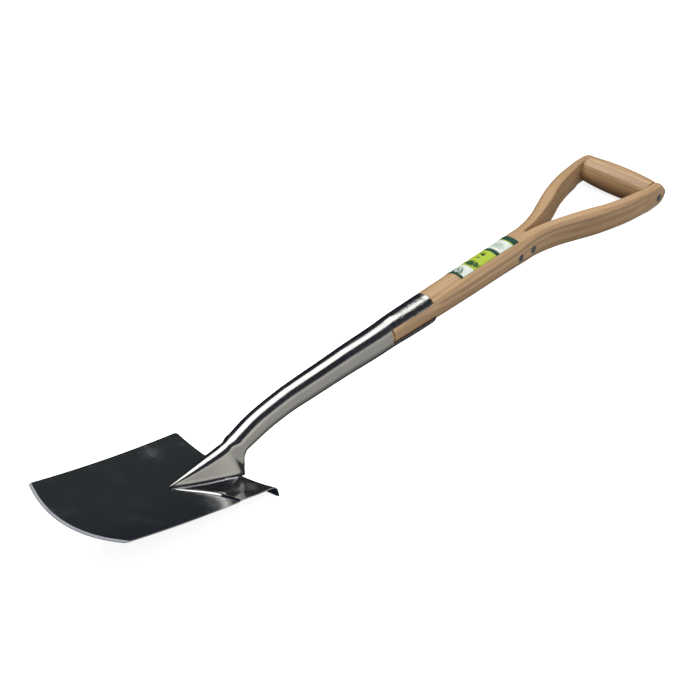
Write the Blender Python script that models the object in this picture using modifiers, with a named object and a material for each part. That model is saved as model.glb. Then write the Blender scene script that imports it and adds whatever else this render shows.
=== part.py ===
"""Border spade with a strapped socket and a wooden YD handle, lying on its back.

Every piece is modelled in one working frame and parented to an empty that lays the spade down.
Working frame: X across the blade, Y from the tread line towards the grip in the blade's plane,
Z out of the blade's front. The shaft's own coordinates are x, s along its axis and h in front of it.
"""

import bisect
import math

import bmesh
import bpy
from mathutils import Matrix, Vector

# Blade: a dished plate with a rounded cutting edge and its top edge rolled back.
BLADE_SIDE = 0.233
BLADE_HALF_WIDTH = 0.074
TREAD_HALF_WIDTH = 0.0755
EDGE_SAGITTA = 0.0175
EDGE_BEVEL = 0.003
EDGE_THICKNESS = 0.0006
PLATE = 0.002
DISH = 0.009
BOW = 0.003
SIDE_HEIGHT = 0.001
ROLL_START = -0.006
ROLL_RADIUS = 0.014
ROLL_ANGLE = math.radians(61)
# The trimmed edge of the rolled lip: how far it runs past the roll, and its height.
LIP_REACH = 0.004
LIP_HEIGHT = -0.0135

# Shaft axis: its height above the tread line and its angle to the blade.
SHAFT_RISE = 0.0335
SHAFT_ANGLE = math.radians(14.3)

# Socket: a tube that spreads into a foot below and splits into two straps above.
WALL = 0.0018
GAP = 0.0003
FIT = 0.0005
BORE_START = 0.066
NOTCH_START = 0.263
STRAP_END = 0.343
NOTCH_TOP = 0.0130
NOTCH_BOTTOM = 0.0040
STRAP_HALF_WIDTH = 0.0142
STRAP_CORNER = 0.005
# End of the tube before it is cut to length, how far its cutters reach, and the height in the
# notch where the cutter of the front strap's end meets that of the back one.
SKIN_END = 0.350
CUT_END = 0.360
CUT_REACH = 0.030
CUT_SPLIT = 0.004

# Tube stations: s, offset of its centre from the shaft's axis, outer radius.
TUBE = [
    (0.030, -0.0135, 0.0146),
    (0.050, -0.0088, 0.0147),
    (0.075, -0.0054, 0.0149),
    (0.100, -0.0034, 0.0153),
    (0.120, -0.0031, 0.0158),
    (0.150, -0.0027, 0.0162),
    (0.180, -0.0023, 0.0167),
    (0.200, -0.0021, 0.0172),
    (0.240, -0.0024, 0.0180),
    (0.265, -0.0020, 0.0183),
    (0.283, -0.0015, 0.0189),
    (0.310, -0.0018, 0.0195),
    (0.335, -0.0018, 0.0198),
    (0.350, -0.0012, 0.0198),
]

# Foot stations, from its tip back into the tube: top point y and z, bottom point y and z,
# half width, ridge radius, and how far the section has turned from a tent into a circle.
FOOT = [
    (-0.0890, -0.0085, -0.0892, -0.0105, 0.0024, 0.0010, 0.0),
    (-0.0620, 0.0008, -0.0580, -0.0095, 0.0105, 0.0068, 0.0),
    (-0.0360, 0.0098, -0.0280, -0.0085, 0.0188, 0.0105, 0.0),
    (-0.0120, 0.0180, 0.0005, -0.0075, 0.0272, 0.0120, 0.0),
    (-0.0030, 0.0220, 0.0110, -0.0020, 0.0200, 0.0092, 0.10),
    (0.0083, 0.0287, 0.0247, 0.0073, 0.0139, 0.0115, 1.0),
]

# Shaft: the hidden taper, then the round part, then the sawn and spread fork.
SHAFT_START = 0.150
CROTCH = 0.5395
SHAFT_RADIUS = [
    (0.268, 0.0172),
    (0.343, 0.0185),
    (0.385, 0.0190),
    (0.430, 0.0193),
    (0.480, 0.0193),
]
# Fork stations: s, inner face x, outer face x, half depth, radius of the outer corners.
FORK = [
    (0.480, -0.0010, 0.0193, 0.0193, 0.0193),
    (0.505, -0.0010, 0.0190, 0.0192, 0.0178),
    (0.538, -0.0010, 0.0180, 0.0186, 0.0135),
    (0.541, 0.0006, 0.0180, 0.0186, 0.0135),
    (0.560, 0.0030, 0.0195, 0.0183, 0.0120),
    (0.585, 0.0083, 0.0250, 0.0180, 0.0110),
    (0.613, 0.0160, 0.0350, 0.0178, 0.0105),
    (0.641, 0.0255, 0.0453, 0.0177, 0.0100),
    (0.670, 0.0365, 0.0543, 0.0173, 0.0108),
    (0.696, 0.0432, 0.0598, 0.0171, 0.0110),
    (0.718, 0.0470, 0.0622, 0.0169, 0.0110),
    (0.730, 0.0500, 0.0632, 0.0168, 0.0108),
    (0.7486, 0.0500, 0.0636, 0.0166, 0.0106),
]
INNER_CORNER = 0.003

# Grip, its pin, and the rivets and washers.
GRIP_S = 0.7486
GRIP_HALF_LENGTH = 0.0497
GRIP_RADIUS = 0.0200
GRIP_END_RADIUS = 0.0172
ARM_END = 0.0200
ARM_END_ROUNDING = 0.0040
PIN_RADIUS = 0.0025
WASHER_RADIUS = 0.0050
WASHER = 0.0010
RIVET_DOME = 0.0006
FORK_RIVETS = {"lower": 0.512, "upper": 0.5385}
FORK_RIVET_H = -0.0010
STRAP_RIVETS = {"lower": 0.288, "upper": 0.326}

# Label on the front of the shaft.
LABEL_START = 0.402
LABEL_END = 0.516
LABEL_FROM = math.radians(-55)
LABEL_TO = math.radians(29)
LABEL_THICKNESS = 0.0003

# Angles round a corner of the shaft, with a pair of points where a strap's recess ends.
RECESS_ANGLE = math.radians(50)
RECESS_STEP = math.radians(3)
# Points along the ridge, the flat side and the flat base of half a foot ring.
RIDGE_STEPS = 5
SIDE_STEPS = 5
BASE_STEPS = 2
HALF_RING = RIDGE_STEPS + SIDE_STEPS + BASE_STEPS
# Keeps a ring's topmost point off the mirror plane.
OFF_CENTRE = 0.00005
TURNED_START = math.radians(5)


def smooth(knots, s):
    """Values at s on curves through the knots that never overshoot them."""
    places = [knot[0] for knot in knots]
    if s <= places[0]:
        return knots[0][1:]
    if s >= places[-1]:
        return knots[-1][1:]
    i = bisect.bisect_right(places, s) - 1
    span = places[i + 1] - places[i]
    t = (s - places[i]) / span
    values = []
    for k in range(1, len(knots[0])):
        a, b = knots[i][k], knots[i + 1][k]
        m0 = knot_slope(knots, i, k) * span
        m1 = knot_slope(knots, i + 1, k) * span
        rise = t * t * (3 - 2 * t)
        values.append(a + (b - a) * rise + m0 * t * (1 - t) ** 2 - m1 * t * t * (1 - t))
    return tuple(values)


def knot_slope(knots, i, k):
    """Slope at knot i: the harmonic mean of the slopes on its two sides."""
    def secant(j):
        return (knots[j + 1][k] - knots[j][k]) / (knots[j + 1][0] - knots[j][0])
    if i == 0:
        return secant(0)
    if i == len(knots) - 1:
        return secant(i - 1)
    before, after = secant(i - 1), secant(i)
    if before * after <= 0:
        return 0.0
    return 2 * before * after / (before + after)


def steps(start, end, count):
    """count + 1 even stations from start to end."""
    return [start + (end - start) * i / count for i in range(count + 1)]


def stations(start, end):
    """start, end and every whole centimetre between them."""
    first, last = math.ceil(start * 100 + 0.1), math.floor(end * 100 - 0.1)
    return [start] + [i / 100 for i in range(first, last + 1)] + [end]


def on_shaft(x, s, h):
    """A point given in the shaft's coordinates, in the working frame."""
    y = s * math.cos(SHAFT_ANGLE) - h * math.sin(SHAFT_ANGLE)
    z = SHAFT_RISE + s * math.sin(SHAFT_ANGLE) + h * math.cos(SHAFT_ANGLE)
    return Vector((x, y, z))


def shaft_matrix(s=0.0):
    """Local X, Y, Z along x, s and h, with the origin on the axis at s."""
    return Matrix.Translation(on_shaft(0, s, 0)) @ Matrix.Rotation(SHAFT_ANGLE, 4, "X")


def rest_pose():
    """Rotation and place that lay the spade on its rolled treads and its grip."""
    grip = on_shaft(0, GRIP_S, 0)
    lip = Vector((0, ROLL_START + ROLL_RADIUS * math.sin(ROLL_ANGLE) + LIP_REACH, LIP_HEIGHT))
    reach = math.hypot(grip.y - lip.y, grip.z - lip.z)
    tilt = math.atan2(grip.z - lip.z, grip.y - lip.y) - math.asin(GRIP_RADIUS / reach)
    lay = Matrix.Rotation(-tilt, 4, "X")
    grip_at = lay @ grip
    cutting_edge = lay @ Vector((0, -BLADE_SIDE - EDGE_SAGITTA, face_height(0, -BLADE_SIDE) - PLATE))
    middle = (cutting_edge.y + grip_at.y + ARM_END) / 2
    return Matrix.Translation((0, -middle, GRIP_RADIUS - grip_at.z)) @ lay


def new_object(name, mesh, collection, matrix=None):
    """An object in the collection, parented to the empty that lays the spade down."""
    obj = bpy.data.objects.new(name, mesh)
    collection.objects.link(obj)
    obj.parent = bpy.data.objects["spade_rest"]
    obj.matrix_local = matrix or Matrix.Identity(4)
    return obj


def mesh_from(name, points, faces):
    """A mesh from points and faces, with the faces of a closed one turned outward."""
    mesh = bpy.data.meshes.new(name)
    mesh.from_pydata(points, [], faces)
    work = bmesh.new()
    work.from_mesh(mesh)
    bmesh.ops.recalc_face_normals(work, faces=work.faces)
    work.to_mesh(mesh)
    work.free()
    return mesh


def loft_mesh(name, rings):
    """A closed skin over rings of equal length, capped at both ends."""
    size = len(rings[0])
    points = [point for ring in rings for point in ring]
    faces = [list(range(size)), list(range(len(points) - size, len(points)))]
    for i in range(len(rings) - 1):
        for j in range(size):
            a = i * size + j
            b = i * size + (j + 1) % size
            faces.append((a, b, b + size, a + size))
    return mesh_from(name, points, faces)


def grid_mesh(name, rows):
    """An open skin over rows of points of equal length."""
    size = len(rows[0])
    points = [point for row in rows for point in row]
    faces = []
    for i in range(len(rows) - 1):
        for j in range(size - 1):
            a = i * size + j
            faces.append((a, a + 1, a + 1 + size, a + size))
    mesh = bpy.data.meshes.new(name)
    mesh.from_pydata(points, [], faces)
    return mesh


def turned(name, profile, collection, matrix, segments=20, closed=False):
    """A solid turned about its local Z from a profile of (radius, z) points, top to bottom.

    It starts at an odd angle, so that no edge of a hole falls on an edge of what it is cut from.
    """
    mesh = bpy.data.meshes.new(name)
    edges = [(i, i + 1) for i in range(len(profile) - 1)]
    if closed:
        edges.append((len(profile) - 1, 0))
    mesh.from_pydata([(r, 0, z) for r, z in profile], edges, [])
    obj = new_object(name, mesh, collection, matrix @ Matrix.Rotation(TURNED_START, 4, "Z"))
    screw = obj.modifiers.new("turn", "SCREW")
    screw.steps = segments
    screw.render_steps = segments
    screw.use_merge_vertices = True
    screw.merge_threshold = 0.00001
    return obj


def cut(obj, cutter):
    """Take the cutter's shape out of the object."""
    modifier = obj.modifiers.new(cutter.name, "BOOLEAN")
    modifier.operation = "DIFFERENCE"
    modifier.object = cutter


def as_cutter(obj):
    """Show an object as a wire that is left out of the model."""
    obj.hide_render = True
    obj.display_type = "WIRE"
    return obj


def paint(obj, name, colour, roughness, metallic=0.0):
    """Give the object its own Principled material."""
    material = bpy.data.materials.new(name)
    material.use_nodes = True
    shader = material.node_tree.nodes["Principled BSDF"]
    shader.inputs["Base Color"].default_value = (*colour, 1)
    shader.inputs["Roughness"].default_value = roughness
    shader.inputs["Metallic"].default_value = metallic
    material.diffuse_color = (*colour, 1)
    obj.data.materials.append(material)


def paint_steel(obj, roughness=0.2):
    paint(obj, obj.name + "_steel", (0.58, 0.57, 0.55), roughness, 1.0)


def paint_wood(obj):
    paint(obj, obj.name + "_wood", (0.50, 0.31, 0.17), 0.45)


def face_height(x, y):
    """Height of the blade's front face: hollow across, and a little hollow lengthwise."""
    across = 1 - (x / BLADE_HALF_WIDTH) ** 2
    middle = (ROLL_START - BLADE_SIDE) / 2
    lengthwise = max(0.0, 1 - ((y - middle) / (ROLL_START - middle)) ** 2)
    return SIDE_HEIGHT - DISH * across - BOW * lengthwise


def blade_rows():
    """Points of the front face from the cutting edge over the rolled treads."""
    columns = steps(-1, 1, 26)
    rest = rest_pose()
    rows = []

    def flat_row(rise, fraction):
        row = []
        for c in columns:
            edge = -BLADE_SIDE - EDGE_SAGITTA * (1 - c * c) + rise
            y = edge + (ROLL_START - edge) * fraction
            widening = max(0.0, 1 + y / BLADE_SIDE)
            x = c * (BLADE_HALF_WIDTH + (TREAD_HALF_WIDTH - BLADE_HALF_WIDTH) * widening)
            drop = 0.0 if rise else PLATE - EDGE_THICKNESS
            row.append(Vector((x, y, face_height(x, y) - drop)))
        return row

    rows.append(flat_row(0.0, 0.0))
    for fraction in steps(0, 1, 9):
        rows.append(flat_row(EDGE_BEVEL, fraction))
    start = rows[-1]
    for angle in steps(0, ROLL_ANGLE, 5)[1:]:
        along = ROLL_RADIUS * math.sin(angle)
        down = ROLL_RADIUS * (1 - math.cos(angle))
        rows.append([p + Vector((0, along, -down)) for p in start])
    slope = Vector((0, math.cos(ROLL_ANGLE), -math.sin(ROLL_ANGLE)))
    fall = -(rest.to_3x3() @ slope).z
    lip = []
    for p in rows[-1]:
        reach = max(0.0005, ((rest @ p).z + 2 * PLATE) / fall)
        lip.append(p + slope * reach)
    rows.append(lip)
    return rows


def blade(parts, cutters):
    """Dished plate: thin at the cutting edge, trimmed level along the rolled treads."""
    rows = blade_rows()
    obj = new_object("blade", grid_mesh("blade", rows), parts)
    group = obj.vertex_groups.new(name="thickness")
    columns = len(rows[0])
    group.add(range(columns), EDGE_THICKNESS / PLATE, "REPLACE")
    group.add(range(columns, columns * len(rows)), 1.0, "REPLACE")
    solid = obj.modifiers.new("plate", "SOLIDIFY")
    solid.thickness = PLATE
    solid.offset = -1
    solid.use_even_offset = True
    solid.vertex_group = group.name
    bpy.ops.mesh.primitive_cube_add(size=1, scale=(0.3, 0.3, 0.05))
    floor = as_cutter(bpy.context.object)
    floor.name = "floor_cutter"
    bpy.ops.object.transform_apply(location=False, rotation=False, scale=True)
    for collection in floor.users_collection:
        collection.objects.unlink(floor)
    cutters.objects.link(floor)
    floor.location = (0, (rest_pose() @ rows[-1][0]).y, -0.025)
    cut(obj, floor)
    paint_steel(obj)
    return obj


def tent(k, half_width, height, ridge):
    """Point k of a half ring shaped like a tent: a round ridge, a flat side, a flat base."""
    centre = height - ridge
    reach = math.hypot(half_width, centre)
    lean = math.atan2(centre, half_width) + math.asin(min(1.0, ridge / reach))
    if k <= RIDGE_STEPS:
        angle = lean * k / RIDGE_STEPS
        return ridge * math.sin(angle), centre + ridge * math.cos(angle)
    if k <= RIDGE_STEPS + SIDE_STEPS:
        t = (k - RIDGE_STEPS) / SIDE_STEPS
        x, z = ridge * math.sin(lean), centre + ridge * math.cos(lean)
        return x + (half_width - x) * t, z * (1 - t)
    return half_width * (HALF_RING - k) / BASE_STEPS, 0.0


def round_point(k, half_width, height):
    """Point k of a half ring shaped like an ellipse, from its top to its bottom."""
    angle = math.pi * k / HALF_RING
    return half_width * math.sin(angle), height / 2 * (1 + math.cos(angle))


def socket_ring(top, bottom, half_width, ridge, roundness):
    """A ring in the plane through top and bottom, kept clear of the blade."""
    height = (top - bottom).length
    up = (top - bottom).normalized()
    half = []
    for k in range(HALF_RING + 1):
        tx, tz = tent(k, half_width, height, ridge)
        rx, rz = round_point(k, half_width, height)
        x = tx + (rx - tx) * roundness
        point = bottom + up * (tz + (rz - tz) * roundness)
        point.x = x
        point.z = max(point.z, face_height(x, point.y) + GAP)
        half.append(point)
    other = [Vector((-p.x, p.y, p.z)) for p in reversed(half[1:-1])]
    return half + other


def tube_direction(s):
    """Angle between the tube's centre line and the shaft's axis."""
    step = 0.001
    return math.atan((smooth(TUBE, s + step)[0] - smooth(TUBE, s - step)[0]) / (2 * step))


def tube_ring(s, shrink=0.0):
    """A round ring across the tube at s."""
    offset, radius = smooth(TUBE, s)
    radius -= shrink
    lean = tube_direction(s)
    top = on_shaft(0, s - radius * math.sin(lean), offset + radius * math.cos(lean))
    bottom = on_shaft(0, s + radius * math.sin(lean), offset - radius * math.cos(lean))
    return socket_ring(top, bottom, radius, radius * 0.8, 1.0)


def foot_rings():
    """Rings from the foot's tip to where it has become the tube."""
    knots = [(i,) + station for i, station in enumerate(FOOT)]
    rings = []
    for u in steps(0, len(FOOT) - 1, 3 * (len(FOOT) - 1)):
        ty, tz, by, bz, half_width, ridge, roundness = smooth(knots, u)
        rings.append(socket_ring(Vector((0, ty, tz)), Vector((0, by, bz)), half_width, ridge, roundness))
    return rings


def notch_side(height):
    """One long side of a notch: s and distance from the tube centre."""
    side = []
    for angle in steps(math.pi / 2, 0, 4):
        s = NOTCH_START + STRAP_CORNER * (1 - math.sin(angle))
        side.append((s, height - STRAP_CORNER * (1 - math.cos(angle))))
    return side + [(s, height) for s in steps(NOTCH_START + STRAP_CORNER, CUT_END, 7)[1:]]


def notch_rings():
    """Two equal rings of a block across the tube that opens the notches between the straps."""
    outline = notch_side(NOTCH_TOP) + [(s, -h) for s, h in reversed(notch_side(NOTCH_BOTTOM))]
    middle = [smooth(TUBE, s)[0] for s, _ in outline]
    rings = []
    for end in (-CUT_REACH, CUT_REACH):
        rings.append([on_shaft(end, s, m + h) for (s, h), m in zip(outline, middle)])
    return rings


def front_end_rings():
    """Two equal rings of a block that leaves the front strap's end with rounded corners."""
    outline = []
    for sign in (1, -1):
        for angle in steps(0, math.pi / 2, 4):
            turn = angle if sign > 0 else math.pi / 2 - angle
            s = STRAP_END - STRAP_CORNER * (1 - math.sin(turn))
            w = sign * (STRAP_HALF_WIDTH + GAP - STRAP_CORNER * (1 - math.cos(turn)))
            outline.append((s, w))
    start = STRAP_END - STRAP_CORNER
    outline += [(start, -CUT_REACH), (CUT_END, -CUT_REACH), (CUT_END, CUT_REACH), (start, CUT_REACH)]
    return [[on_shaft(w, s, h) for s, w in outline] for h in (CUT_SPLIT, CUT_REACH)]


def back_end_rings():
    """Two equal rings of a block that cuts the back strap's end straight."""
    outline = [(STRAP_END, -CUT_REACH), (CUT_END, -CUT_REACH), (CUT_END, CUT_REACH), (STRAP_END, CUT_REACH)]
    return [[on_shaft(w, s, h) for s, w in outline] for h in (-CUT_REACH, CUT_SPLIT)]


def socket(parts, cutters):
    """Foot, swan neck and tube in one skin, bored, notched at the sides and cut to length."""
    rings = foot_rings()
    rings += [tube_ring(s) for s in stations(TUBE[0][0], SKIN_END)]
    obj = new_object("socket", loft_mesh("socket", rings), parts)
    bore = [tube_ring(s, WALL) for s in stations(BORE_START, CUT_END)]
    blocks = [("bore", bore), ("notch", notch_rings()), ("front_end", front_end_rings()),
              ("back_end", back_end_rings())]
    for name, cutter_rings in blocks:
        mesh = loft_mesh(name + "_cutter", cutter_rings)
        cut(obj, as_cutter(new_object(mesh.name, mesh, cutters)))
    paint_steel(obj)
    return obj


def shaft_section(s):
    """Inner face, outer face, half depth, corner radius and centre offset of the wood at s."""
    if s <= NOTCH_START + STRAP_CORNER:
        offset, tube = smooth(TUBE, s)
        radius = tube - WALL - FIT
        return -0.001, radius, radius, radius, offset
    if s < FORK[0][0]:
        radius = smooth(SHAFT_RADIUS, s)[0]
        return -0.001, radius, radius, radius, 0.0
    if s <= GRIP_S:
        return (*smooth(FORK, s), 0.0)
    t = (s - GRIP_S) / ARM_END
    round_end = math.sqrt(max(0.0, 1 - t * t))
    inner, outer, depth, corner = FORK[-1][1:]
    return inner, outer - ARM_END_ROUNDING * (1 - round_end), depth * round_end, corner, 0.0


def shaft_ring(s, recessed=False):
    """Half of the wood's outline at s, closed along its inner face."""
    inner, outer, depth, corner, offset = shaft_section(s)
    soft = min(INNER_CORNER if s > CROTCH else GAP, depth * 0.3)
    corner = min(corner, outer - inner - soft, outer - OFF_CENTRE, depth)
    centre = outer - corner
    ring = []
    for side, notch in ((1, NOTCH_TOP), (-1, NOTCH_BOTTOM)):
        recess, lift, last, first = corner, 0.0, RECESS_ANGLE, RECESS_ANGLE + RECESS_STEP
        if recessed:
            middle, tube = smooth(TUBE, s)
            recess, lift = tube - WALL - FIT, side * middle
            last = math.acos((notch - GAP) / recess)
            first = math.acos((notch - GAP + lift) / corner)
        half, base = [], depth - corner
        for angle in steps(0, last, 3):
            half.append((centre + recess * math.sin(angle), base + lift + recess * math.cos(angle)))
        for angle in steps(first, math.pi / 2, 3):
            half.append((centre + corner * math.sin(angle), base + corner * math.cos(angle)))
        top = half[0][1]
        edge = []
        for angle in steps(0, math.pi / 2, 2):
            edge.append((inner + soft * (1 - math.cos(angle)), top - soft * (1 - math.sin(angle))))
        points = [on_shaft(x, s, offset + side * h) for x, h in edge + half]
        ring += points if side > 0 else points[::-1]
    ring.append(on_shaft(inner, s, offset))
    return ring


def shaft(parts, cutters):
    """Half of the shaft and one arm, mirrored; the straps lie in recesses in the wood."""
    step = 0.0002
    rings = [shaft_ring(s) for s in stations(SHAFT_START, NOTCH_START + STRAP_CORNER)]
    cheek = NOTCH_START + STRAP_CORNER + GAP
    rings.append(shaft_ring(cheek - step, True))
    rings += [shaft_ring(s, True) for s in stations(cheek, STRAP_END + GAP)]
    rings += [shaft_ring(s) for s in steps(STRAP_END + GAP + step, FORK[0][0], 5)]
    for knot, following in zip(FORK, FORK[1:]):
        rings += [shaft_ring(s) for s in steps(knot[0], following[0], 2)[1:]]
    for angle in (20, 40, 55, 68, 78, 86):
        rings.append(shaft_ring(GRIP_S + ARM_END * math.sin(math.radians(angle))))
    obj = new_object("shaft", loft_mesh("shaft", rings), parts)
    mirror = obj.modifiers.new("halves", "MIRROR")
    mirror.use_axis = (True, False, False)
    mirror.use_bisect_axis = (True, False, False)
    mirror.bisect_threshold = 0.00001
    mirror.merge_threshold = 0.00001
    paint_wood(obj)
    return obj


def grip(parts):
    """Turned crossbar, fuller in the middle, with a hole for its pin."""
    hole = PIN_RADIUS + GAP
    profile = []
    for z in steps(GRIP_HALF_LENGTH, -GRIP_HALF_LENGTH, 12):
        bulge = 1 - (z / GRIP_HALF_LENGTH) ** 2
        profile.append((GRIP_END_RADIUS + (GRIP_RADIUS - GRIP_END_RADIUS) * bulge, z))
    profile += [(hole, -GRIP_HALF_LENGTH), (hole, GRIP_HALF_LENGTH)]
    matrix = shaft_matrix(GRIP_S) @ Matrix.Rotation(math.pi / 2, 4, "Y")
    obj = turned("grip", profile, parts, matrix, segments=32, closed=True)
    paint_wood(obj)
    return obj


def pin_profile(half_length, radius):
    """A pin with slightly domed ends."""
    shoulder = half_length - RIVET_DOME
    return [(0, half_length), (radius * 0.7, half_length - RIVET_DOME * 0.4), (radius, shoulder),
            (radius, -shoulder), (radius * 0.7, RIVET_DOME * 0.4 - half_length), (0, -half_length)]


def cross_pin(name, washers, s, h, parts, cutters, wood):
    """A pin across x at s and h, its washers let into the wood, and the holes they need."""
    place = shaft_matrix() @ Matrix.Translation((0, s, h)) @ Matrix.Rotation(math.pi / 2, 4, "Y")
    face = shaft_section(s)[1]
    seat = face - WASHER - GAP
    pin = turned(name, pin_profile(face + RIVET_DOME, PIN_RADIUS), parts, place, segments=16)
    paint_steel(pin, 0.3)
    for side, label in ((-1, "left"), (1, "right")):
        outer, inner = side * (seat + GAP + WASHER), side * (seat + GAP)
        high, low = max(outer, inner), min(outer, inner)
        hole = PIN_RADIUS + GAP
        ring = [(WASHER_RADIUS, high), (WASHER_RADIUS, low), (hole, low), (hole, high)]
        washer = turned(washers + label, ring, parts, place, segments=20, closed=True)
        paint_steel(washer, 0.35)
    clear = WASHER_RADIUS + GAP
    hole = PIN_RADIUS + GAP
    end = face + 0.006
    profile = [(0, end), (clear, end), (clear, seat), (hole, seat),
               (hole, -seat), (clear, -seat), (clear, -end), (0, -end)]
    cut(wood, as_cutter(turned(name + "_cutter", profile, cutters, place, segments=20)))


def strap_rivet(name, s, parts, cutters, steel, wood):
    """A rivet through both straps and the wood, its heads ground flush."""
    place = shaft_matrix() @ Matrix.Translation((0, s, smooth(TUBE, s)[0]))
    radius = smooth(TUBE, s)[1]
    rivet = turned(name, [(0, radius), (PIN_RADIUS, radius), (PIN_RADIUS, -radius), (0, -radius)],
                   parts, place, segments=16)
    paint_steel(rivet)
    hole = PIN_RADIUS + GAP
    end = radius + 0.004
    profile = [(0, end), (hole, end), (hole, -end), (0, -end)]
    cutter = as_cutter(turned(name + "_cutter", profile, cutters, place, segments=16))
    cut(steel, cutter)
    cut(wood, cutter)


def label(parts):
    """Thin sheet wrapped round the front of the shaft, just clear of the wood."""
    rows = []
    for s in steps(LABEL_START, LABEL_END, 8):
        _, outer, depth, corner, offset = shaft_section(s)
        row = []
        for angle in steps(LABEL_FROM, LABEL_TO, 12):
            side = math.copysign(outer - corner, angle)
            reach = corner + GAP
            row.append(on_shaft(side + reach * math.sin(angle), s,
                                offset + depth - corner + reach * math.cos(angle)))
        rows.append(row)
    obj = new_object("label", grid_mesh("label", rows), parts)
    solid = obj.modifiers.new("paper", "SOLIDIFY")
    solid.thickness = LABEL_THICKNESS
    solid.offset = 1
    paint(obj, "label_paper", (0.35, 0.55, 0.12), 0.4)
    return obj


def build():
    for old in list(bpy.data.objects):
        bpy.data.objects.remove(old, do_unlink=True)
    parts = bpy.data.collections.new("garden_spade")
    cutters = bpy.data.collections.new("cutters")
    for collection in (parts, cutters):
        bpy.context.scene.collection.children.link(collection)
    rest = bpy.data.objects.new("spade_rest", None)
    parts.objects.link(rest)
    rest.matrix_world = rest_pose()
    blade(parts, cutters)
    steel = socket(parts, cutters)
    wood = shaft(parts, cutters)
    grip(parts)
    cross_pin("grip_pin", "grip_washer_", GRIP_S, 0.0, parts, cutters, wood)
    for place, s in FORK_RIVETS.items():
        cross_pin("fork_rivet_" + place, "fork_washer_" + place + "_", s, FORK_RIVET_H,
                  parts, cutters, wood)
    for place, s in STRAP_RIVETS.items():
        strap_rivet("strap_rivet_" + place, s, parts, cutters, steel, wood)
    label(parts)
    for obj in parts.objects:
        if obj.type == "MESH":
            obj.data.shade_smooth()
            obj.data.set_sharp_from_angle(angle=math.radians(35))


build()
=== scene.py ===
"""Looks of the border spade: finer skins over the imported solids, materials, light and camera.

Working frame of the shapes: X across the blade, Y from the tread line towards the grip in the
blade's plane, Z out of the blade's front. rest_pose() lays that frame down on the floor.
"""

import bisect
import math

import bmesh
import bpy
import numpy as np
from mathutils import Matrix, Vector


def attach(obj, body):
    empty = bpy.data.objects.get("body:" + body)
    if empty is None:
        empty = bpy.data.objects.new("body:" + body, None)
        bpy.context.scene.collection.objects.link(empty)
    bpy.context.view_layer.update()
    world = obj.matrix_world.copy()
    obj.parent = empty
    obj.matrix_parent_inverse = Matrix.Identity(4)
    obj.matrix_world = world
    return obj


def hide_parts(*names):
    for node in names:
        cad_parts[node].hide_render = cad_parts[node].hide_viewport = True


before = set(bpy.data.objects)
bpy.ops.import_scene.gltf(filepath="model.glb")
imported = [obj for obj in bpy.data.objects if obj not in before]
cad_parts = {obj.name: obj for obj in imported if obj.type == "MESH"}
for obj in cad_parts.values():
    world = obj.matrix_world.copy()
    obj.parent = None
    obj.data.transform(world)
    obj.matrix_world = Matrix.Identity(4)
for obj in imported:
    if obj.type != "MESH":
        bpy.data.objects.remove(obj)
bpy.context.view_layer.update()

# Blade.
BLADE_SIDE = 0.233
BLADE_HALF_WIDTH = 0.074
TREAD_HALF_WIDTH = 0.0755
EDGE_SAGITTA = 0.0175
EDGE_BEVEL = 0.003
EDGE_THICKNESS = 0.0006
PLATE = 0.002
DISH = 0.009
BOW = 0.003
SIDE_HEIGHT = 0.001
ROLL_START = -0.006
ROLL_RADIUS = 0.014
ROLL_ANGLE = math.radians(61)
LIP_REACH = 0.004
LIP_HEIGHT = -0.0135
# The pressed line from the foot's tip to the blade's sides: x, y, and its rise.
CREASE = [
    (-0.0010, -0.0900, 0.00000),
    (0.0050, -0.0865, 0.00055),
    (0.0195, -0.0746, 0.00090),
    (0.0290, -0.0672, 0.00105),
    (0.0400, -0.0615, 0.00135),
    (0.0510, -0.0585, 0.00100),
    (0.0620, -0.0580, 0.00135),
    (0.0760, -0.0592, 0.00120),
]
CREASE_HALF_WIDTH = 0.0025
CREASE_FADE = 0.035
FAR_CREASE = 0.04
SIDE_THINNING = 0.4
THIN_FROM = 0.955

# Shaft axis.
SHAFT_RISE = 0.0335
SHAFT_ANGLE = math.radians(14.3)

# Socket.
WALL = 0.0018
GAP = 0.0003
FIT = 0.0005
NECK_END = 0.060
BORE_START = 0.066
NOTCH_START = 0.263
STRAP_END = 0.343
NOTCH_TOP = 0.0130
NOTCH_BOTTOM = 0.0040
STRAP_HALF_WIDTH = 0.0142
STRAP_CORNER = 0.005
SKIN_END = 0.350
CUT_END = 0.360
CUT_REACH = 0.030
CUT_SPLIT = 0.004
WELD = 0.0016
WELD_HEIGHT = 0.0045
WELD_FULL_WIDTH = 0.006

# Tube stations: s, offset of its centre from the shaft's axis, outer radius.
TUBE = [
    (0.030, -0.0135, 0.0146),
    (0.050, -0.0088, 0.0147),
    (0.075, -0.0054, 0.0149),
    (0.100, -0.0034, 0.0153),
    (0.120, -0.0031, 0.0158),
    (0.150, -0.0027, 0.0162),
    (0.180, -0.0023, 0.0167),
    (0.200, -0.0021, 0.0172),
    (0.240, -0.0024, 0.0180),
    (0.265, -0.0020, 0.0183),
    (0.283, -0.0015, 0.0189),
    (0.310, -0.0018, 0.0195),
    (0.335, -0.0018, 0.0198),
    (0.350, -0.0012, 0.0198),
]
# Foot stations: top point y and z, bottom point y and z, half width, ridge radius, roundness.
FOOT = [
    (-0.0890, -0.0085, -0.0892, -0.0105, 0.0024, 0.0010, 0.0),
    (-0.0620, 0.0008, -0.0580, -0.0095, 0.0105, 0.0068, 0.0),
    (-0.0360, 0.0098, -0.0280, -0.0085, 0.0188, 0.0105, 0.0),
    (-0.0120, 0.0180, 0.0005, -0.0075, 0.0272, 0.0120, 0.0),
    (-0.0030, 0.0220, 0.0110, -0.0020, 0.0200, 0.0092, 0.10),
    (0.0083, 0.0287, 0.0247, 0.0073, 0.0139, 0.0115, 1.0),
]

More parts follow.
